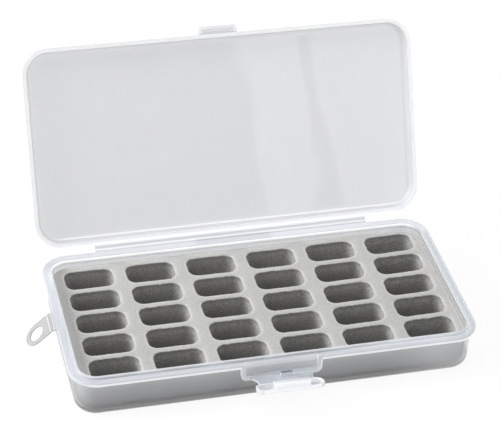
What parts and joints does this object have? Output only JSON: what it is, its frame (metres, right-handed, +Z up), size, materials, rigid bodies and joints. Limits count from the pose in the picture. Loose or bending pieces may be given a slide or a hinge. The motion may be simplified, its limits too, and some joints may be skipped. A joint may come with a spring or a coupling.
{
  "type": "bobbin box",
  "caption": "Flat clear plastic box with a living-hinged lid, a front latch flap, a hang tab and a foam insert whose pockets hold sewing bobbins on edge.",
  "frame": {"origin": "middle of the base tray's flat underside", "axes": "+X along the box's length, away from the hang tab; +Y from the latch to the lid's hinge; +Z up"},
  "size_m": [0.1926, 0.1527, 0.1059],
  "materials": {
    "tray_plastic": "satin",
    "lid_plastic": "satin",
    "flap_plastic": "satin",
    "hinge_plastic": "satin",
    "foam": "matte, fine-grained closed-cell foam"
  },
  "bodies": {
    "base": {"base_tray": "tray_plastic", "foam_insert": "foam", "lid_hinge_web": "hinge_plastic", "latch_hinge_web": "hinge_plastic", "tab_hinge_web": "hinge_plastic"},
    "lid": {"lid": "lid_plastic"},
    "latch": {"latch": "flap_plastic"},
    "hang_tab": {"hang_tab": "flap_plastic"}
  },
  "joints": [
    {"name": "lid_hinge", "type": "hinge", "parent": "base", "child": "lid", "pos_m": [0, 0.04765, 0.02045], "axis": [1, 0, 0], "range_deg": [-64.8, 115.2], "deforming": ["lid_hinge_web"]},
    {"name": "latch_hinge", "type": "hinge", "parent": "base", "child": "latch", "pos_m": [0, -0.04535, 0.0136], "axis": [-1, 0, 0], "range_deg": [-50, 55], "deforming": ["latch_hinge_web"]},
    {"name": "hang_tab_hinge", "type": "hinge", "parent": "base", "child": "hang_tab", "pos_m": [-0.0919, 0, 0.0199], "axis": [0, 1, 0], "range_deg": [-25, 60], "deforming": ["tab_hinge_web"]}
  ]
}
